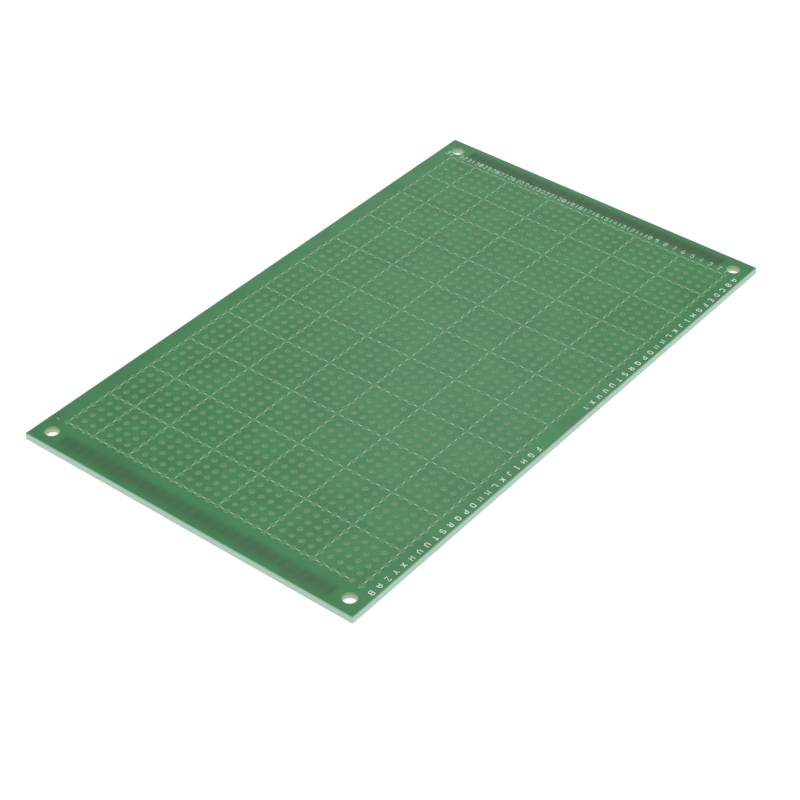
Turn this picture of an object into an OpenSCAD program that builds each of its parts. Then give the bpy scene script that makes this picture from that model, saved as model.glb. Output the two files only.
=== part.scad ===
// Single-sided prototype circuit board, lying component side up.
// The origin is at the centre of the solder side. X runs along the board, Y towards the
// lettered long edge, and Z up through the sheet.

/* [Laminate] */
// Length of the board
board_l = 150; // [100:0.5:220]
// Width of the board
board_w = 90; // [60:0.5:160]
// Thickness of the glass-epoxy sheet by itself
laminate_t = 1.54; // [0.7:0.01:3.2]

/* [Lead holes] */
// Distance from one lead hole to the next, both ways
pitch = 2.54; // [2.4:0.01:5.08]
// Drilled diameter of a lead hole
lead_hole_d = 1; // [0.7:0.05:1.3]
// Clear strip beside the long edges, where the column letters go
letter_strip = 3.35; // [2.5:0.05:6]
// Clear strip between the edge pads and the first lead pads, where the row numbers go
number_strip = 0.85; // [0.5:0.05:6]
// Distance from the board's centre to the middle of the drilled field, towards the row numbers
field_shift = 0.45; // [0:0.05:0.5]

/* [Mounting holes] */
// Diameter of a mounting hole
mount_hole_d = 3.2; // [2.2:0.1:4.3]
// Distance from a mounting hole's centre to the short edge
mount_inset_x = 4; // [3:0.1:6]
// Distance from a mounting hole's centre to the long edge
mount_inset_y = 4; // [3:0.1:6]
// Room for a screw head between a mounting hole and the nearest pad
mount_clear = 0.6; // [0.4:0.05:3]

/* [Copper] */
// Thickness of the tinned copper on the solder side
copper_t = 0.035; // [0.018:0.001:0.14]
// Outer diameter of the ring pad round a lead hole
lead_pad_d = 1.9; // [1.6:0.05:2.15]
// Length of an edge pad, square to the short edge
edge_pad_l = 4; // [2:0.1:8]
// Width of an edge pad, along the short edge
edge_pad_w = 1.5; // [0.8:0.05:1.9]
// Distance from the short edge to an edge pad
edge_pad_inset = 1.35; // [0.5:0.05:5]

/* [Solder mask] */
// Thickness of the mask film on the component side
mask_t = 0.025; // [0.01:0.005:0.06]
// Bare rim between the mask and the sawn edges
mask_rim = 0.1; // [0.05:0.05:0.5]
// Gap that the mask leaves round a hole
mask_gap = 0.2; // [0.05:0.05:0.3]

/* [Printed lines] */
// Thickness of the white ink
ink_t = 0.015; // [0.005:0.005:0.05]
// Length of one dash, which sits between two lead holes
dash_l = 0.95; // [0.6:0.05:1.1]
// Width of one dash
dash_w = 0.15; // [0.1:0.05:0.4]
// Lead holes from one printed line to the next
line_step = 5; // [4:1:8]
// Lead holes between lines where the step is short, beside the row numbers and the plain edge
line_short_step = 4; // [2:1:4]
// Lead holes from the last short line to the line on the last row
line_end_step = 3; // [2:1:4]

/* [Hidden] */
hole_fn = 24;

// Space kept clear at a corner, from the board's edges to the far side of a mounting hole
mount_keep_x = mount_inset_x + mount_hole_d / 2 + mount_clear;
mount_keep_y = mount_inset_y + mount_hole_d / 2 + mount_clear;
edge_pad_keep = edge_pad_inset + edge_pad_l + number_strip;

// Smallest distances from the board's edges to the first lead holes, and the grid that fits inside them
end_margin = lead_pad_d / 2 + max(mount_keep_x, edge_pad_keep);
side_margin = lead_pad_d / 2 + letter_strip;
columns = floor((board_l - 2 * (end_margin + field_shift)) / pitch) + 1;
rows = floor((board_w - 2 * side_margin) / pitch) + 1;

// Heights of the layers
laminate_z = copper_t;
mask_z = laminate_z + laminate_t;
ink_z = mask_z + mask_t;

// Columns are counted from -X and rows from the lettered edge at +Y
function column_x(c) = (c - (columns - 1) / 2) * pitch - field_shift;
function row_y(r) = ((rows - 1) / 2 - r) * pitch;

// Rows and columns of lead holes that carry a printed line
last_short_row = rows - 1 - line_end_step;
line_rows = concat([for (r = [0 : line_step : last_short_row - 1]) r], [last_short_row, rows - 1]);
line_columns = concat([0, line_short_step], [for (c = [2 * line_short_step : line_step : columns - 1]) c]);

// Edge pads stand midway between rows, wherever they clear the mounting holes
function pad_row_y(r) = row_y(r + 0.5);
edge_pad_rows = [for (r = [0 : rows - 2]) if (abs(pad_row_y(r)) + edge_pad_w / 2 <= board_w / 2 - mount_keep_y) r];
edge_pad_x = board_l / 2 - edge_pad_inset - edge_pad_l / 2;

// Each child at every lead hole
module at_lead_holes() {
    for (c = [0 : columns - 1], r = [0 : rows - 1])
        translate([column_x(c), row_y(r)])
        children();
}

// Each child at the four mounting holes
module at_mount_holes() {
    for (sx = [-1, 1], sy = [-1, 1])
        translate([sx * (board_l / 2 - mount_inset_x), sy * (board_w / 2 - mount_inset_y)])
        children();
}

// Each child at every edge pad
module at_edge_pads() {
    for (sx = [-1, 1], r = edge_pad_rows)
        translate([sx * edge_pad_x, pad_row_y(r)])
        children();
}

// The glass-epoxy sheet, with its drilled holes
module laminate() {
    color([0.80, 0.84, 0.70])
    translate([0, 0, laminate_z])
    linear_extrude(laminate_t)
    difference() {
        square([board_l, board_w], center = true);
        at_lead_holes() circle(d = lead_hole_d, $fn = hole_fn);
        at_mount_holes() circle(d = mount_hole_d, $fn = hole_fn);
    }
}

// Green solder mask film on the component side, open round each hole
module mask_top() {
    color([0.20, 0.52, 0.33])
    translate([0, 0, mask_z])
    linear_extrude(mask_t)
    difference() {
        square([board_l - 2 * mask_rim, board_w - 2 * mask_rim], center = true);
        at_lead_holes() circle(d = lead_hole_d + 2 * mask_gap, $fn = hole_fn);
        at_mount_holes() circle(d = mount_hole_d + 2 * mask_gap, $fn = hole_fn);
    }
}

// Tinned copper rings round the lead holes
module lead_pads() {
    color([0.80, 0.80, 0.78])
    linear_extrude(copper_t)
    at_lead_holes()
    difference() {
        circle(d = lead_pad_d, $fn = hole_fn);
        circle(d = lead_hole_d, $fn = hole_fn);
    }
}

// Tinned copper pads along both short edges
module edge_pads() {
    color([0.80, 0.80, 0.78])
    linear_extrude(copper_t)
    at_edge_pads()
    square([edge_pad_l, edge_pad_w], center = true);
}

// White dashes between the lead holes of the marked rows and columns. The line on the last
// column starts one lead hole in from the lettered edge.
module legend_lines() {
    color([0.92, 0.95, 0.92])
    translate([0, 0, ink_z])
    linear_extrude(ink_t) {
        for (r = line_rows, c = [0 : columns - 2])
            translate([column_x(c + 0.5), row_y(r)])
            square([dash_l, dash_w], center = true);
        for (c = line_columns, r = [(c == columns - 1 ? 1 : 0) : rows - 2])
            translate([column_x(c), row_y(r + 0.5)])
            square([dash_w, dash_l], center = true);
    }
}

laminate();
mask_top();
lead_pads();
edge_pads();
legend_lines();
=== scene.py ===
import math

import bmesh
import bpy
from mathutils import Matrix, Vector


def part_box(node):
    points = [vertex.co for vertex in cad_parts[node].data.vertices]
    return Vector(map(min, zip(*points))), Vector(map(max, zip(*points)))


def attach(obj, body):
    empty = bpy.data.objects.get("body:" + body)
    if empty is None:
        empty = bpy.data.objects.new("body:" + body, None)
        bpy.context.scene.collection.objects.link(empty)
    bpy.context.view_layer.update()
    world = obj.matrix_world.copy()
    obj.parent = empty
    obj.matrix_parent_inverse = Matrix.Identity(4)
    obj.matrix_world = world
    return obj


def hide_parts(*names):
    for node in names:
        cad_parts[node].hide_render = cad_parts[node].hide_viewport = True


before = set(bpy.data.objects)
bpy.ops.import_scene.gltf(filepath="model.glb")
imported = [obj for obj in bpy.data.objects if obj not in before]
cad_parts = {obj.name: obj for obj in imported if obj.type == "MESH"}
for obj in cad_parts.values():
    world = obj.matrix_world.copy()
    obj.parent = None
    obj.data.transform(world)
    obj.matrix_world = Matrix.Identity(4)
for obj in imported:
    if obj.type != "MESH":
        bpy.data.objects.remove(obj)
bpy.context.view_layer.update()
mm = 0.001

# Heights and edges of the board, read from the frame
sheetLow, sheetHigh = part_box("laminate")
filmLow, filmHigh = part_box("mask_top")
padLow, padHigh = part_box("lead_pads")

# The drilled grid. Columns run along X, and rows go down from the lettered edge
grid = {
    "pitch": 2.54 * mm,
    "columns": 54,
    "rows": 33,
    "holeSize": 1.0 * mm,
    "padSize": 1.9 * mm,
    "shift": 0.45 * mm,  # from the board's middle to the field's middle, towards the row numbers
    "mountHoleSize": 3.2 * mm,
    "mountInset": 4.0 * mm,
    "edgePadLength": 4.0 * mm,
    "edgePadWidth": 1.5 * mm,
    "edgePadInset": 1.35 * mm,
    "holeSides": 16,
    "mountHoleSides": 48,
}
gridHalfX = (grid["columns"] - 1) / 2 * grid["pitch"]
gridHalfY = (grid["rows"] - 1) / 2 * grid["pitch"]
edgePadX = sheetHigh.x - grid["edgePadInset"] - grid["edgePadLength"] / 2
# The gaps between rows that have an edge pad beside them, clear of the mounting holes
edgePadFirst, edgePadLast = 1, grid["rows"] - 3


def columnX(column):
    return column * grid["pitch"] - gridHalfX - grid["shift"]


def rowY(row):
    return gridHalfY - row * grid["pitch"]


def mathNode(tree, operation, *values):
    # the values are numbers or sockets
    node = tree.nodes.new("ShaderNodeMath")
    node.operation = operation
    for place, value in enumerate(values):
        if isinstance(value, (int, float)):
            node.inputs[place].default_value = value
        else:
            tree.links.new(value, node.inputs[place])
    return node.outputs[0]


def eased(tree, value, low, high):
    # 0 at low, 1 at high, smooth between
    node = tree.nodes.new("ShaderNodeMapRange")
    node.interpolation_type = "SMOOTHSTEP"
    tree.links.new(value, node.inputs["Value"])
    node.inputs["From Min"].default_value = low
    node.inputs["From Max"].default_value = high
    return node.outputs["Result"]


def mixColor(tree, factor, a, b):
    # a where the factor is 0, b where it is 1. They are colours or sockets
    node = tree.nodes.new("ShaderNodeMix")
    node.data_type = "RGBA"
    for place, value in ((0, factor), (6, a), (7, b)):
        if isinstance(value, (int, float)):
            node.inputs[place].default_value = value
        elif isinstance(value, tuple):
            node.inputs[place].default_value = (*value, 1)
        else:
            tree.links.new(value, node.inputs[place])
    return node.outputs[2]


def noise(tree, vector, patch, detail=2.0):
    # patch is the width of one blot, in metres
    node = tree.nodes.new("ShaderNodeTexNoise")
    tree.links.new(vector, node.inputs["Vector"])
    node.inputs["Scale"].default_value = 1 / patch
    node.inputs["Detail"].default_value = detail
    return node.outputs["Fac"]


def bump(tree, height, strength, distance):
    node = tree.nodes.new("ShaderNodeBump")
    tree.links.new(height, node.inputs["Height"])
    node.inputs["Strength"].default_value = strength
    node.inputs["Distance"].default_value = distance
    return node.outputs["Normal"]


def objectPlace(tree):
    return tree.nodes.new("ShaderNodeTexCoord").outputs["Object"]


def splitVector(tree, vector):
    parts = tree.nodes.new("ShaderNodeSeparateXYZ")
    tree.links.new(vector, parts.inputs[0])
    return parts.outputs["X"], parts.outputs["Y"], parts.outputs["Z"]


def upwardShare(tree):
    # of the surface's normal: 1 on the component side, -1 on the solder side
    return splitVector(tree, tree.nodes.new("ShaderNodeTexCoord").outputs["Normal"])[2]


def fromOutline(tree, x, y):
    # how far a place is outside the board's outline, below zero inside
    fromX = mathNode(tree, "SUBTRACT", mathNode(tree, "ABSOLUTE", x), sheetHigh.x)
    fromY = mathNode(tree, "SUBTRACT", mathNode(tree, "ABSOLUTE", y), sheetHigh.y)
    return mathNode(tree, "MAXIMUM", fromX, fromY)


def newGroup(name, inputs, outputs):
    group = bpy.data.node_groups.new(name, "ShaderNodeTree")
    for label, kind, value in inputs:
        made = group.interface.new_socket(label, in_out="INPUT", socket_type=kind)
        if value is not None:
            made.default_value = value
    for label, kind in outputs:
        group.interface.new_socket(label, in_out="OUTPUT", socket_type=kind)
    return group, group.nodes.new("NodeGroupInput"), group.nodes.new("NodeGroupOutput")


def useGroup(tree, group, vector):
    node = tree.nodes.new("ShaderNodeGroup")
    node.node_tree = group
    tree.links.new(vector, node.inputs["Place"])
    return node


def newMaterial(name):
    material = bpy.data.materials.new(name)
    material.use_nodes = True
    tree = material.node_tree
    return material, tree, tree.nodes["Principled BSDF"]


shadeLook = {
    "bandFadeOut": 0.9 * mm,  # how far a band's shade reaches past the ends of the edge pads
    "bandFadeIn": 1.5 * mm,  # how far inside their ends it is at its full strength
    "bandEndFade": 0.8 * mm,  # the same, beyond and before the outermost edge pads
    "bandPlainEnd": 0.60,  # strength of the band at the plain end
    "bandExtra": 0.32,  # how much stronger it is at the numbered end
    "beads": 0.076,  # how much it swings from pad to pad
    "ringFade": 0.35 * mm,
    "fieldReach": 1.5 * mm,  # past the outermost lead holes, where the rings' shade ends
    "fieldFade": 0.3 * mm,
}


def makePadShadeGroup():
    # painted shade of the solder side's copper where it shows through the sheet, 0 to 1, and the
    # distance from the nearest lead hole's centre
    group, start, end = newGroup(
        "padShade",
        [("Place", "NodeSocketVector", None)],
        [(label, "NodeSocketFloat") for label in ("Edge pads", "Ring pad shade", "Off hole")],
    )
    x, y = splitVector(group, start.outputs["Place"])[:2]
    absX, absY = mathNode(group, "ABSOLUTE", x), mathNode(group, "ABSOLUTE", y)
    # a band of painted shade along each short edge, beaded where the pads are
    offBand = mathNode(group, "ABSOLUTE", mathNode(group, "SUBTRACT", absX, edgePadX))
    halfBand = grid["edgePadLength"] / 2
    bandNone, bandFull = halfBand + shadeLook["bandFadeOut"], halfBand - shadeLook["bandFadeIn"]
    band = eased(group, offBand, bandNone, bandFull)
    bandEnd = rowY(edgePadFirst + 0.5) + grid["edgePadWidth"] / 2
    endFade = shadeLook["bandEndFade"]
    ends = eased(group, absY, bandEnd + endFade, bandEnd - endFade)
    numberedEnd = mathNode(group, "LESS_THAN", x, 0.0)
    extra, plain = shadeLook["bandExtra"], shadeLook["bandPlainEnd"]
    strength = mathNode(group, "MULTIPLY_ADD", numberedEnd, extra, plain)
    turn = mathNode(group, "MULTIPLY", y, 2 * math.pi / grid["pitch"])
    swing = mathNode(group, "COSINE", turn)
    beads = mathNode(group, "MULTIPLY_ADD", swing, -shadeLook["beads"], strength)
    bandShade = mathNode(group, "MULTIPLY", mathNode(group, "MULTIPLY", band, ends), beads)
    group.links.new(bandShade, end.inputs["Edge pads"])
    # a soft disc of painted shade under each lead hole, inside the drilled field
    fieldX = mathNode(group, "ADD", x, grid["shift"])
    halfPitch = grid["pitch"] / 2
    offColumn = mathNode(group, "PINGPONG", mathNode(group, "ADD", fieldX, gridHalfX), halfPitch)
    offRow = mathNode(group, "PINGPONG", mathNode(group, "ADD", y, gridHalfY), halfPitch)
    squares = [mathNode(group, "MULTIPLY", off, off) for off in (offColumn, offRow)]
    radius = mathNode(group, "SQRT", mathNode(group, "ADD", *squares))
    padRadius, ringFade = grid["padSize"] / 2, shadeLook["ringFade"]
    disc = eased(group, radius, padRadius + ringFade, padRadius - ringFade)
    fieldEnd = shadeLook["fieldReach"]
    fieldFull = fieldEnd - shadeLook["fieldFade"]
    absFieldX = mathNode(group, "ABSOLUTE", fieldX)
    insideX = eased(group, absFieldX, gridHalfX + fieldEnd, gridHalfX + fieldFull)
    insideY = eased(group, absY, gridHalfY + fieldEnd, gridHalfY + fieldFull)
    inside = mathNode(group, "MULTIPLY", insideX, insideY)
    group.links.new(mathNode(group, "MULTIPLY", disc, inside), end.inputs["Ring pad shade"])
    # outside the field a lead hole counts as far off
    outside = mathNode(group, "MULTIPLY_ADD", inside, -grid["pitch"], grid["pitch"])
    group.links.new(mathNode(group, "ADD", radius, outside), end.inputs["Off hole"])
    return group


weaveLook = {
    "warp": 0.58 * mm,  # from thread to thread, along X
    "weft": 0.80 * mm,
    "cloudPatch": 2.2 * mm,
}


def makeGlassWeaveGroup():
    # the plain weave of the glass cloth, as a height and as a tint, both 0 to 1
    group, start, end = newGroup(
        "glassWeave",
        [
            ("Place", "NodeSocketVector", None),
            ("Warp", "NodeSocketFloat", weaveLook["warp"]),
            ("Weft", "NodeSocketFloat", weaveLook["weft"]),
        ],
        [("Height", "NodeSocketFloat"), ("Tint", "NodeSocketFloat")],
    )
    x, y = splitVector(group, start.outputs["Place"])[:2]
    waves = []
    for along, spacing in ((x, "Warp"), (y, "Weft")):
        turns = mathNode(group, "DIVIDE", along, start.outputs[spacing])
        waves.append(mathNode(group, "SINE", mathNode(group, "MULTIPLY", turns, math.pi)))
    weave = mathNode(group, "MULTIPLY", *waves)
    height = mathNode(group, "MULTIPLY_ADD", weave, 0.5, 0.5)
    group.links.new(height, end.inputs["Height"])
    cloud = noise(group, start.outputs["Place"], weaveLook["cloudPatch"], 3.0)
    group.links.new(mathNode(group, "MULTIPLY", height, cloud), end.inputs["Tint"])
    return group


padShade = makePadShadeGroup()
glassWeave = makeGlassWeaveGroup()
print("shader groups ready")

maskLook = {
    "green": (0.021, 0.200, 0.056),
    "deepGreen": (0.018, 0.166, 0.044),
    # painted shade over the solder side's copper
    "copperShade": (0.008, 0.065, 0.010),
    "threadGreen": (0.10, 0.33, 0.16),
    "thinGreen": (0.075, 0.27, 0.105),
    "rimGlowMint": (0.22, 0.50, 0.36),
    "ringShade": 0.35,
    "bandShade": 0.99,
    "cloudPatch": 9 * mm,
    "cloudNoise": (0.35, 0.65),  # noise below the first gives green, above the second deepGreen
    "haloStart": 0.68 * mm,  # the film thins between these distances from a lead hole's centre
    "haloEnd": 0.95 * mm,
    "haloStrength": 0.35,
    "threadStrength": 0.10,
    "rimStart": 0.35 * mm,  # painted glow: it turns mint between these distances from the board's outline
    "rimEnd": 0.12 * mm,
    "rimGlowStrength": 0.6,
    "roughness": 0.34,
    "roughnessPatch": 1.5 * mm,
    "roughnessSpread": 0.12,
    "specular": 0.42,
    "bumpStrength": 0.2,
    "bumpHeight": 0.006 * mm,
}


def makeSolderMask(name, ringShade, bandShade):
    # the shades are how strongly the painted shade of the copper below shows through
    material, tree, shader = newMaterial(name)
    place = objectPlace(tree)
    x, y = splitVector(tree, place)[:2]
    weave = useGroup(tree, glassWeave, place)
    cloud = noise(tree, place, maskLook["cloudPatch"], 3.0)
    cloud = eased(tree, cloud, *maskLook["cloudNoise"])
    base = mixColor(tree, cloud, maskLook["green"], maskLook["deepGreen"])
    if ringShade or bandShade:
        shade = useGroup(tree, padShade, place)
        ring = mathNode(tree, "MULTIPLY", shade.outputs["Ring pad shade"], ringShade)
        base = mixColor(tree, ring, base, maskLook["deepGreen"])
        band = mathNode(tree, "MULTIPLY", shade.outputs["Edge pads"], bandShade)
        base = mixColor(tree, band, base, maskLook["copperShade"])
        # the film runs thin towards a hole
        halo = eased(tree, shade.outputs["Off hole"], maskLook["haloEnd"], maskLook["haloStart"])
        halo = mathNode(tree, "MULTIPLY", halo, maskLook["haloStrength"])
        base = mixColor(tree, halo, base, maskLook["thinGreen"])
    thread = mathNode(tree, "MULTIPLY", weave.outputs["Tint"], maskLook["threadStrength"])
    base = mixColor(tree, thread, base, maskLook["threadGreen"])
    # painted glow along the board's outline
    rim = eased(tree, fromOutline(tree, x, y), -maskLook["rimStart"], -maskLook["rimEnd"])
    rim = mathNode(tree, "MULTIPLY", rim, maskLook["rimGlowStrength"])
    base = mixColor(tree, rim, base, maskLook["rimGlowMint"])
    tree.links.new(base, shader.inputs["Base Color"])
    blots = noise(tree, place, maskLook["roughnessPatch"])
    spread, least = maskLook["roughnessSpread"], maskLook["roughness"]
    rough = mathNode(tree, "MULTIPLY_ADD", blots, spread, least)
    tree.links.new(rough, shader.inputs["Roughness"])
    shader.inputs["Specular IOR Level"].default_value = maskLook["specular"]
    threads = bump(tree, weave.outputs["Height"], maskLook["bumpStrength"], maskLook["bumpHeight"])
    tree.links.new(threads, shader.inputs["Normal"])
    return material


sheetLook = {
    "face": (0.115, 0.295, 0.125),
    "faceOuter": (0.055, 0.235, 0.085),
    "sawnRimGreenAndShade": (0.36, 0.60, 0.42),  # just under the mask: the mask's own green edge and its painted shade
    "sawnEdge": (0.55, 0.745, 0.63),
    "sawnLow": (0.59, 0.72, 0.635),
    # a hole's wall: painted shade at the top, painted light deeper down
    "leadHoleShadedTop": (0.36, 0.49, 0.25),
    "leadHoleLitDeep": (0.54, 0.81, 0.58),
    "mountHoleShadedTop": (0.30, 0.42, 0.22),
    "mountHoleLitDeep": (0.68, 0.80, 0.60),
    "glow": (0.62, 1.0, 0.66),  # daylight that comes through the sheet into a hole
    "glowStrength": 0.02,
    "fibre": (0.40, 0.55, 0.42),
    "fibrePatch": 0.25 * mm,
    "fibreStrength": 0.16,
    "plies": 8,
    "plyDepth": 0.3,
    "roughness": 0.55,
    "bumpStrength": 0.4,
    "bumpHeight": 0.01 * mm,
    "leadHoleReach": 0.8 * mm,  # walls nearer than this to a lead hole's centre are its own
    "mountHoleReach": 1.0 * mm,
    "faceStart": 0.50 * mm,  # the bare face changes between these distances from the centre
    "faceEnd": 0.70 * mm,
    "sawnStart": 0.15 * mm,  # nearer than this to the outline a wall is sawn
    "sawnEnd": 0.30 * mm,  # and farther in than this it is drilled
    "inwardStart": 0.12 * mm,  # the bare face is told from the sawn edge between these distances
    "inwardEnd": 0.20 * mm,
    "faceSlopes": (0.6, 0.9),  # upward shares of the normal, from which a surface is a face
    "wallSlopes": (0.4, 0.2),  # and below which it is a wall
    # depths between which one colour turns into the next, 0 at the component side, 1 at the other
    "leadHoleDepths": (0.02, 0.4),
    "mountHoleDepths": (0.0, 0.8),
    "sawnRimDepths": (0.04, 0.20),
    "sawnDepths": (0.3, 1.0),
    "glowDepths": (0.05, 0.45),
}


def makeGlassEpoxy():
    material, tree, shader = newMaterial("glassEpoxy")
    place = objectPlace(tree)
    x, y, z = splitVector(tree, place)
    down = tree.nodes.new("ShaderNodeMapRange")  # depth below the component side, 0 to 1
    tree.links.new(z, down.inputs["Value"])
    down.inputs["From Min"].default_value = sheetHigh.z
    down.inputs["From Max"].default_value = sheetLow.z
    depth = down.outputs["Result"]

    def colorByDepth(depths, upper, lower):
        return mixColor(tree, eased(tree, depth, *sheetLook[depths]), upper, lower)

    offHole = useGroup(tree, padShade, place).outputs["Off hole"]
    # painted shade at the top of each hole's wall, painted light deeper down
    top, deep = sheetLook["leadHoleShadedTop"], sheetLook["leadHoleLitDeep"]
    leadHole = colorByDepth("leadHoleDepths", top, deep)
    top, deep = sheetLook["mountHoleShadedTop"], sheetLook["mountHoleLitDeep"]
    mountHole = colorByDepth("mountHoleDepths", top, deep)
    wide = eased(tree, offHole, sheetLook["leadHoleReach"], sheetLook["mountHoleReach"])
    hole = mixColor(tree, wide, leadHole, mountHole)
    face = eased(tree, offHole, sheetLook["faceStart"], sheetLook["faceEnd"])
    face = mixColor(tree, face, sheetLook["face"], sheetLook["faceOuter"])
    # sawn edges are mint, drilled walls olive with painted shade at the top and painted light
    # deeper down, and the bare face round a hole is green
    fromEdge = fromOutline(tree, x, y)
    sawn = colorByDepth("sawnDepths", sheetLook["sawnEdge"], sheetLook["sawnLow"])
    # the mask's green edge and painted shade along the top of the sawn edge
    sawn = colorByDepth("sawnRimDepths", sheetLook["sawnRimGreenAndShade"], sawn)
    outer = eased(tree, fromEdge, -sheetLook["sawnEnd"], -sheetLook["sawnStart"])
    wall = mixColor(tree, outer, hole, sawn)
    flat = mathNode(tree, "ABSOLUTE", upwardShare(tree))
    inward = eased(tree, fromEdge, -sheetLook["inwardStart"], -sheetLook["inwardEnd"])
    onFace = mathNode(tree, "MULTIPLY", eased(tree, flat, *sheetLook["faceSlopes"]), inward)
    base = mixColor(tree, onFace, wall, face)
    ply = mathNode(tree, "MULTIPLY", depth, sheetLook["plies"] * 2 * math.pi)
    ply = mathNode(tree, "SINE", ply)
    ply = mathNode(tree, "MULTIPLY_ADD", ply, sheetLook["plyDepth"], 1 - sheetLook["plyDepth"])
    fibre = noise(tree, place, sheetLook["fibrePatch"], 4.0)
    grain = mathNode(tree, "MULTIPLY", ply, fibre)
    streak = mathNode(tree, "MULTIPLY", fibre, sheetLook["fibreStrength"])
    base = mixColor(tree, streak, base, sheetLook["fibre"])
    tree.links.new(base, shader.inputs["Base Color"])
    # only the walls of holes glow, and not their mouths
    inward = eased(tree, fromEdge, -sheetLook["sawnStart"], -sheetLook["sawnEnd"])
    steep = eased(tree, flat, *sheetLook["wallSlopes"])
    deep = eased(tree, depth, *sheetLook["glowDepths"])
    glow = mathNode(tree, "MULTIPLY", mathNode(tree, "MULTIPLY", inward, steep), deep)
    glow = mathNode(tree, "MULTIPLY", glow, sheetLook["glowStrength"])
    shader.inputs["Emission Color"].default_value = (*sheetLook["glow"], 1)
    tree.links.new(glow, shader.inputs["Emission Strength"])
    shader.inputs["Roughness"].default_value = sheetLook["roughness"]
    grain = bump(tree, grain, sheetLook["bumpStrength"], sheetLook["bumpHeight"])
    tree.links.new(grain, shader.inputs["Normal"])
    return material


tinLook = {
    "color": (0.76, 0.75, 0.72),
    "dull": (0.62, 0.61, 0.57),
    "patch": 1.2 * mm,
    "roughness": 0.24,
    "roughnessSpread": 0.2,
    "bumpStrength": 0.3,
    "bumpHeight": 0.02 * mm,
}


def makeTinnedCopper():
    material, tree, shader = newMaterial("tinnedCopper")
    cloud = noise(tree, objectPlace(tree), tinLook["patch"], 3.0)
    base = mixColor(tree, cloud, tinLook["color"], tinLook["dull"])
    tree.links.new(base, shader.inputs["Base Color"])
    spread, least = tinLook["roughnessSpread"], tinLook["roughness"]
    rough = mathNode(tree, "MULTIPLY_ADD", cloud, spread, least)
    tree.links.new(rough, shader.inputs["Roughness"])
    shader.inputs["Metallic"].default_value = 1.0
    dents = bump(tree, cloud, tinLook["bumpStrength"], tinLook["bumpHeight"])
    tree.links.new(dents, shader.inputs["Normal"])
    return material


inkLook = {
    "white": (0.93, 0.97, 0.95),
    "below": (0.06, 0.42, 0.16),  # the mask as it shines through a thin coat
    "roughness": 0.6,
    "letterCoat": 0.88,
    "numberCoat": 0.60,
    "lineCoat": 0.55,
    "wear": 0.25,
    "wearPatch": 0.35 * mm,
    "wearNoise": (0.50, 0.75),  # below the first the ink is whole, above the second it is worn
    "grainPatch": 0.1 * mm,
    "bumpStrength": 0.2,
    "bumpHeight": 0.01 * mm,
}


def makeInk(name, coat):
    # coat is how much of the mask below the ink hides, 0 to 1
    material, tree, shader = newMaterial(name)
    place = objectPlace(tree)
    worn = noise(tree, place, inkLook["wearPatch"], 3.0)
    worn = eased(tree, worn, *inkLook["wearNoise"])
    cover = mathNode(tree, "MULTIPLY_ADD", worn, -inkLook["wear"], coat)
    base = mixColor(tree, cover, inkLook["below"], inkLook["white"])
    tree.links.new(base, shader.inputs["Base Color"])
    shader.inputs["Roughness"].default_value = inkLook["roughness"]
    grain = noise(tree, place, inkLook["grainPatch"])
    grain = bump(tree, grain, inkLook["bumpStrength"], inkLook["bumpHeight"])
    tree.links.new(grain, shader.inputs["Normal"])
    return material


maskTopFinish = makeSolderMask("solderMaskTop", maskLook["ringShade"], maskLook["bandShade"])
maskBottomFinish = makeSolderMask("solderMaskBottom", 0, 0)
glassEpoxyFinish = makeGlassEpoxy()
tinnedFinish = makeTinnedCopper()
letterInk = makeInk("letterInk", inkLook["letterCoat"])
numberInk = makeInk("numberInk", inkLook["numberCoat"])
lineInk = makeInk("lineInk", inkLook["lineCoat"])
print("finishes ready")

meshing = {
    "sharpAngle": 35,  # degrees
    "mergeReach": 0.001 * mm,
    "inkMergeReach": 0.0005 * mm,
    "rimReach": 0.01 * mm,
}


def finishMesh(name, bm, material):
    # normals out, sharp only at real corners, and riding on the board
    bmesh.ops.recalc_face_normals(bm, faces=bm.faces[:])
    mesh = bpy.data.meshes.new(name)
    bm.to_mesh(mesh)
    bm.free()
    mesh.materials.append(material)
    mesh.shade_smooth()
    mesh.set_sharp_from_angle(angle=math.radians(meshing["sharpAngle"]))
    piece = bpy.data.objects.new(name, mesh)
    bpy.context.scene.collection.objects.link(piece)
    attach(piece, "root")
    return piece


def edgesOf(verts):
    return list({edge for vert in verts for edge in vert.link_edges})


def loopAt(bm, sides, radius, x=0.0, y=0.0):
    place = Matrix.Translation((x, y, 0))
    made = bmesh.ops.create_circle(bm, segments=sides, radius=radius, matrix=place)
    return edgesOf(made["verts"])


def boxLoop(bm, lengthX, lengthY, x=0.0, y=0.0):
    # a rectangle's outline, from a four-sided circle of unit half width
    turn = Matrix.Rotation(math.pi / 4, 4, "Z")
    verts = bmesh.ops.create_circle(bm, segments=4, radius=math.sqrt(2), matrix=turn)["verts"]
    bmesh.ops.scale(bm, verts=verts, vec=(lengthX / 2, lengthY / 2, 1))
    bmesh.ops.translate(bm, verts=verts, vec=(x, y, 0))
    return edgesOf(verts)


def spreadCopies(bm, geom, count, step):
    # copies of geom in a row, step apart, the first where it is
    for i in range(1, count):
        made = bmesh.ops.duplicate(bm, geom=geom)["geom"]
        verts = [part for part in made if isinstance(part, bmesh.types.BMVert)]
        bmesh.ops.translate(bm, verts=verts, vec=Vector(step) * i)


def allGeom(bm):
    return bm.verts[:] + bm.edges[:] + bm.faces[:]


def thicken(bm, low, high):
    # a flat net at z 0 becomes a closed body from low to high
    made = bmesh.ops.extrude_face_region(bm, geom=bm.faces[:])["geom"]
    upper = {part for part in made if isinstance(part, bmesh.types.BMVert)}
    for vert in bm.verts:
        vert.co.z = high if vert in upper else low


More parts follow.
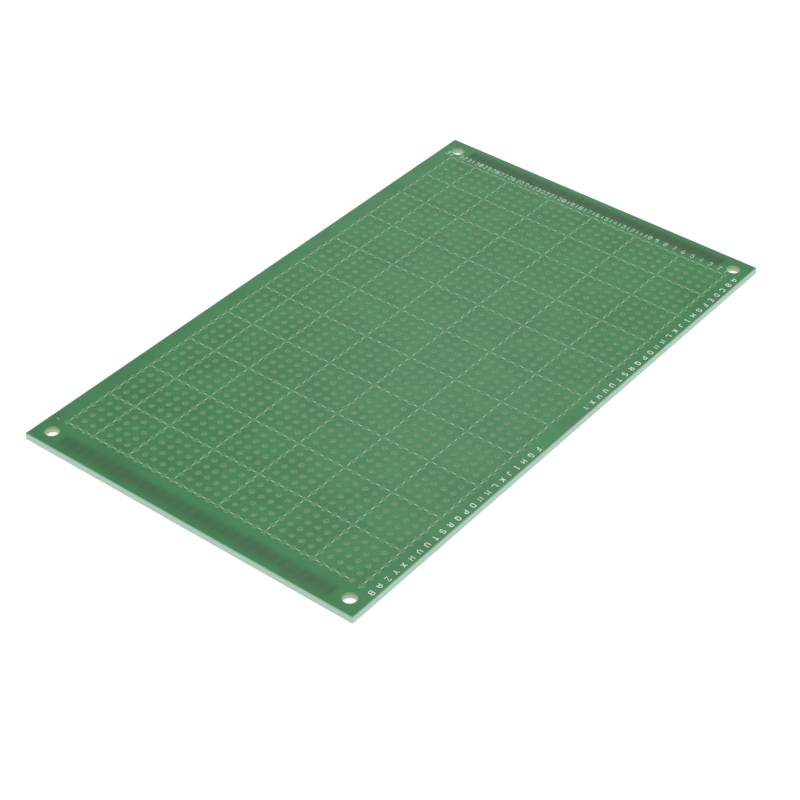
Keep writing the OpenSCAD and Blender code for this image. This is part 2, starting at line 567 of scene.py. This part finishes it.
def holedNet(bm, halfX, halfY, holeSize, mountHoleSize):
    # the drilled field as a flat net, and the edges that bound the margins round it. One square
    # tile round a lead hole is copied over the grid
    loopAt(bm, grid["holeSides"], holeSize / 2)
    boxLoop(bm, grid["pitch"], grid["pitch"])
    bmesh.ops.triangle_fill(bm, use_beauty=True, use_dissolve=False, edges=bm.edges[:])
    bmesh.ops.translate(bm, verts=bm.verts[:], vec=(-gridHalfX, -gridHalfY, 0))
    spreadCopies(bm, allGeom(bm), grid["columns"], (grid["pitch"], 0, 0))
    spreadCopies(bm, allGeom(bm), grid["rows"], (0, grid["pitch"], 0))
    bmesh.ops.remove_doubles(bm, verts=bm.verts[:], dist=meshing["mergeReach"])
    # the loops that bound the margins: the field, the outline and the four mounting holes
    fieldX, fieldY = gridHalfX + grid["pitch"] / 2, gridHalfY + grid["pitch"] / 2

    def onRim(vert):
        reach = max(abs(vert.co.x) - fieldX, abs(vert.co.y) - fieldY)
        return abs(reach) < meshing["rimReach"]

    rim = [edge for edge in bm.edges if edge.is_boundary and all(map(onRim, edge.verts))]
    bmesh.ops.translate(bm, verts=bm.verts[:], vec=(-grid["shift"], 0, 0))
    rim += boxLoop(bm, 2 * halfX, 2 * halfY)
    mountX, mountY = sheetHigh.x - grid["mountInset"], sheetHigh.y - grid["mountInset"]
    for x in (-mountX, mountX):
        for y in (-mountY, mountY):
            rim += loopAt(bm, grid["mountHoleSides"], mountHoleSize / 2, x, y)
    return rim


def fillMargins(bm, rim):
    bmesh.ops.triangle_fill(bm, use_beauty=True, use_dissolve=False, edges=rim)


def makeSheet():
    bm = bmesh.new()
    holeSize, mountHoleSize = grid["holeSize"], grid["mountHoleSize"]
    fillMargins(bm, holedNet(bm, sheetHigh.x, sheetHigh.y, holeSize, mountHoleSize))
    thicken(bm, sheetLow.z, sheetHigh.z)
    piece = finishMesh("glassEpoxySheet", bm, glassEpoxyFinish)
    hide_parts("laminate")


film = {
    "holeGap": 0.2 * mm,  # from a hole to the film on the component side
    "padGap": 0.05 * mm,  # from a pad to the film on the solder side
}


def makeTopFilm():
    bm = bmesh.new()
    gap = 2 * film["holeGap"]
    opening, mountOpening = grid["holeSize"] + gap, grid["mountHoleSize"] + gap
    fillMargins(bm, holedNet(bm, filmHigh.x, filmHigh.y, opening, mountOpening))
    thicken(bm, filmLow.z, filmHigh.z)
    piece = finishMesh("maskFilmTop", bm, maskTopFinish)
    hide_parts("mask_top")


def makeBottomFilm():
    # it fills up to the copper, and is open round every pad
    bm = bmesh.new()
    gap = 2 * film["padGap"]
    opening, mountOpening = grid["padSize"] + gap, grid["mountHoleSize"] + gap
    rim = holedNet(bm, filmHigh.x, filmHigh.y, opening, mountOpening)
    lengthX, lengthY = grid["edgePadLength"] + gap, grid["edgePadWidth"] + gap
    for x in (-edgePadX, edgePadX):
        for row in range(edgePadFirst, edgePadLast + 1):
            rim += boxLoop(bm, lengthX, lengthY, x, rowY(row + 0.5))
    fillMargins(bm, rim)
    thicken(bm, padLow.z, padHigh.z)
    finishMesh("maskFilmBottom", bm, maskBottomFinish)


def makeRings(name, firstColumn, columns):
    bm = bmesh.new()
    loopAt(bm, grid["holeSides"], grid["holeSize"] / 2)
    loopAt(bm, grid["holeSides"], grid["padSize"] / 2)
    bmesh.ops.bridge_loops(bm, edges=bm.edges[:])
    thicken(bm, padLow.z, padHigh.z)
    corner = (columnX(firstColumn), rowY(grid["rows"] - 1), 0)
    bmesh.ops.translate(bm, verts=bm.verts[:], vec=corner)
    spreadCopies(bm, allGeom(bm), columns, (grid["pitch"], 0, 0))
    spreadCopies(bm, allGeom(bm), grid["rows"], (0, grid["pitch"], 0))
    piece = finishMesh(name, bm, tinnedFinish)
    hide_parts("lead_pads")


makeSheet()
makeTopFilm()
makeBottomFilm()
midColumn = grid["columns"] // 2
makeRings("ringPadsPlainEnd", midColumn, grid["columns"] - midColumn)
makeRings("ringPadsNumberedEnd", 0, midColumn)
for node, material in (("edge_pads", tinnedFinish), ("legend_lines", lineInk)):
    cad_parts[node].data.materials.clear()
    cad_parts[node].data.materials.append(material)
print("sheet, films and pads ready")

# Each glyph is drawn in strokes on a field 4 wide and 6 high. Each pair of digits is a point,
# and a space lifts the pen
glyphField = (4, 6)
glyphs = {
    "A": "0004264440 0242",
    "B": "00063645443303 3342413000",
    "C": "4536160501103041",
    "D": "00062644422000",
    "E": "46060040 0333",
    "F": "460600 0333",
    "G": "45361605011030414323",
    "H": "0006 4046 0343",
    "I": "1030 2026 1636",
    "J": "0110203136",
    "K": "0006 4602 1340",
    "L": "060040",
    "M": "0006234640",
    "N": "00064046",
    "O": "100105163645413010",
    "P": "00063645443303",
    "Q": "100105163645413010 2240",
    "R": "00063645443303 2340",
    "S": "453616050413334241301001",
    "T": "0646 2620",
    "U": "060110304146",
    "V": "0602204246",
    "W": "0600234046",
    "X": "0046 0640",
    "Y": "062346 2320",
    "Z": "06460040",
    "0": "100105163645413010 0145",
    "1": "2026",
    "2": "05163645440040",
    "3": "0516364544334241301001 2333",
    "4": "30360242",
    "5": "460604344341301001",
    "6": "361605011030414233 3303",
    "7": "064610",
    "8": "130405163645443313 1302011030414233",
    "9": "103041453616050413 1343",
}

printLook = {
    "letterStroke": 0.205 * mm,
    "numberStroke": 0.17 * mm,
    "markStroke": 0.14 * mm,
    "inkHeight": 0.015 * mm,
    "letterHeight": 1.2 * mm,
    "letterWidth": 0.82 * mm,
    "letterInset": 1.5 * mm,  # from the lettered edge to the middle of the letters
    "letterShift": 0.45 * mm,  # from a column to its letter, towards the plain edge
    "bareColumns": range(25, 31),  # the strip that holds the size on such boards, left bare
    "numberHeight": 1.25 * mm,
    "numberWidth": 0.72 * mm,
    "numberStep": 1.22 * mm,
    "numberInset": 5.5 * mm,  # from the numbered edge to the middle of the numbers
    "firstNumberShift": (0.4 * mm, -0.5 * mm),  # these two numbers stand clear of a mounting hole
    "lastNumberShift": (0.4 * mm, -1.3 * mm),
    "tickPlace": (67.25 * mm, -43.05 * mm),
    "tickLength": 0.8 * mm,
    "stubGap": 0.9 * mm,  # from the last column to the short stroke beyond it
    "stubLength": 0.35 * mm,
}


def addStroke(curve, points):
    # a stroke that ends where it starts is closed
    closed = len(points) > 2 and points[0] == points[-1]
    if closed:
        points = points[:-1]
    spline = curve.splines.new("POLY")
    spline.points.add(len(points) - 1)
    for point, place in zip(spline.points, points):
        point.co = (place[0], place[1], 0, 1)
    spline.use_cyclic_u = closed


def addGlyph(curve, letter, place, width, height):
    # place carries the glyph's middle and its turn
    wide, high = glyphField
    for stroke in glyphs[letter].split():
        points = []
        for i in range(0, len(stroke), 2):
            across, up = int(stroke[i]) / wide - 0.5, int(stroke[i + 1]) / high - 0.5
            point = place @ Vector((across * width, up * height, 0))
            points.append((point.x, point.y))
        addStroke(curve, points)


def newPrint(name, strokeWidth):
    curve = bpy.data.curves.new(name, "CURVE")
    curve.dimensions = "3D"
    curve.bevel_depth = strokeWidth / 2
    curve.bevel_resolution = 1
    curve.use_fill_caps = True
    return curve


def finishPrint(name, curve, ink):
    # the round strokes are pressed flat, and lie on the mask
    holder = bpy.data.objects.new(name + "Curve", curve)
    bpy.context.scene.collection.objects.link(holder)
    evaluated = holder.evaluated_get(bpy.context.evaluated_depsgraph_get())
    mesh = bpy.data.meshes.new_from_object(evaluated)
    bpy.data.objects.remove(holder)
    bm = bmesh.new()
    bm.from_mesh(mesh)
    bmesh.ops.remove_doubles(bm, verts=bm.verts[:], dist=meshing["inkMergeReach"])
    for vert in bm.verts:
        vert.co.z = filmHigh.z + printLook["inkHeight"] * vert.co.z / curve.bevel_depth
    finishMesh(name, bm, ink)


def makeColumnLetters():
    # one letter above each column, from A to Z and again from A, but none in the bare strip
    curve = newPrint("columnLetters", printLook["letterStroke"])
    y = sheetHigh.y - printLook["letterInset"]
    width, height = printLook["letterWidth"], printLook["letterHeight"]
    for column in range(grid["columns"]):
        if column in printLook["bareColumns"]:
            continue
        letter = chr(ord("A") + column % 26)
        place = Matrix.Translation((columnX(column) + printLook["letterShift"], y, 0))
        addGlyph(curve, letter, place, width, height)
    finishPrint("columnLetters", curve, letterInk)


def makeRowNumbers():
    # one number beside each row, read from the plain edge up
    curve = newPrint("rowNumbers", printLook["numberStroke"])
    lastRow = grid["rows"] - 1
    shifts = {0: printLook["firstNumberShift"], lastRow: printLook["lastNumberShift"]}
    width, height = printLook["numberWidth"], printLook["numberHeight"]
    turn = Matrix.Rotation(math.pi / 2, 4, "Z")
    for row in range(grid["rows"]):
        digits = str(row + 1)
        shiftX, shiftY = shifts.get(row, (0, 0))
        x = sheetLow.x + printLook["numberInset"] + shiftX
        y = rowY(row) + shiftY
        for i, digit in enumerate(digits):
            along = (i - (len(digits) - 1) / 2) * printLook["numberStep"]
            place = Matrix.Translation((x, y + along, 0)) @ turn
            addGlyph(curve, digit, place, width, height)
    finishPrint("rowNumbers", curve, numberInk)


def makeSmallMarks():
    # a tick beside one corner, and a short stroke past the end of the first printed line
    curve = newPrint("smallMarks", printLook["markStroke"])
    x, y = printLook["tickPlace"]
    half = printLook["tickLength"] / 2
    addStroke(curve, [(x, y - half), (x, y + half)])
    x = columnX(grid["columns"] - 1) + printLook["stubGap"]
    half = printLook["stubLength"] / 2
    addStroke(curve, [(x - half, rowY(0)), (x + half, rowY(0))])
    finishPrint("smallMarks", curve, lineInk)


makeColumnLetters()
makeRowNumbers()
makeSmallMarks()
print("letters and numbers ready")

studio = {
    "floorHalf": 4.0,  # from the board to the floor's edge, in metres
    "floorColor": (0.90, 0.90, 0.90),
    "floorRoughness": 0.9,
    "floorLift": 0.37,  # light added where the floor is seen, so that it shows white
    "worldStrength": 0.70,
    "keyPower": 2.0,
    "keySize": 0.9,
    "keyPlace": (0.12, 0.22, 1.0),
    "sheenPower": 0.085,
    "sheenSize": 0.12,
    "sheenPlace": (-0.18, -0.12, 0.22),
}


def seenStraight(tree):
    # 1 for what the camera sees by itself, in a reflection or through a piece, 0 for lighting
    paths = tree.nodes.new("ShaderNodeLightPath")
    camera, glossy = paths.outputs["Is Camera Ray"], paths.outputs["Is Glossy Ray"]
    seen = mathNode(tree, "MAXIMUM", camera, glossy)
    return mathNode(tree, "MAXIMUM", seen, paths.outputs["Is Transmission Ray"])


def makeFloor():
    bm = bmesh.new()
    bmesh.ops.create_grid(bm, x_segments=1, y_segments=1, size=studio["floorHalf"])
    mesh = bpy.data.meshes.new("floor")
    bm.to_mesh(mesh)
    bm.free()
    floor = bpy.data.objects.new("floor", mesh)
    bpy.context.scene.collection.objects.link(floor)
    material, tree, shader = newMaterial("floorWhite")
    shader.inputs["Base Color"].default_value = (*studio["floorColor"], 1)
    shader.inputs["Roughness"].default_value = studio["floorRoughness"]
    shader.inputs["Specular IOR Level"].default_value = 0.0
    lift = mathNode(tree, "MULTIPLY", seenStraight(tree), studio["floorLift"])
    shader.inputs["Emission Color"].default_value = (1, 1, 1, 1)
    tree.links.new(lift, shader.inputs["Emission Strength"])
    mesh.materials.append(material)


def makeWorld():
    world = bpy.data.worlds.new("studioWorld")
    world.use_nodes = True
    tree = world.node_tree
    back = tree.nodes["Background"]
    extra = mathNode(tree, "MULTIPLY", seenStraight(tree), 1 - studio["worldStrength"])
    strength = mathNode(tree, "ADD", extra, studio["worldStrength"])
    tree.links.new(strength, back.inputs["Strength"])
    back.inputs["Color"].default_value = (1, 1, 1, 1)
    bpy.context.scene.world = world


def makeLamp(name, power, size, place):
    lamp = bpy.data.lights.new(name, "AREA")
    lamp.shape = "DISK"
    lamp.size = size
    lamp.energy = power
    holder = bpy.data.objects.new(name, lamp)
    holder.location = place
    # it shines at the origin
    holder.rotation_euler = (-Vector(place)).to_track_quat("-Z", "Y").to_euler()
    bpy.context.scene.collection.objects.link(holder)


cameraView = {
    "place": (0.30898, 0.24334, 0.30299),
    "lookAt": (0.00533, 0.02463, 0.0016),
    "roll": 1.786,  # degrees
    "lens": 99.2,
    "sensorWidth": 36,
    "clipStart": 0.01,
    "shiftX": -0.1053,
    "shiftY": 0.0006,
}


def makeCamera():
    camera = bpy.data.cameras.new("camera")
    camera.lens = cameraView["lens"]
    camera.sensor_width = cameraView["sensorWidth"]
    camera.shift_x, camera.shift_y = cameraView["shiftX"], cameraView["shiftY"]
    camera.clip_start = cameraView["clipStart"]
    holder = bpy.data.objects.new("camera", camera)
    place, target = Vector(cameraView["place"]), Vector(cameraView["lookAt"])
    aim = (target - place).to_track_quat("-Z", "Y").to_matrix().to_4x4()
    roll = Matrix.Rotation(math.radians(cameraView["roll"]), 4, "Z")
    holder.matrix_world = Matrix.Translation(place) @ aim @ roll
    bpy.context.scene.collection.objects.link(holder)
    bpy.context.scene.camera = holder


makeFloor()
makeWorld()
makeLamp("keyLight", studio["keyPower"], studio["keySize"], studio["keyPlace"])
makeLamp("sheenLight", studio["sheenPower"], studio["sheenSize"], studio["sheenPlace"])
makeCamera()
bpy.context.scene.view_settings.view_transform = "Standard"
print("floor, light and camera ready")
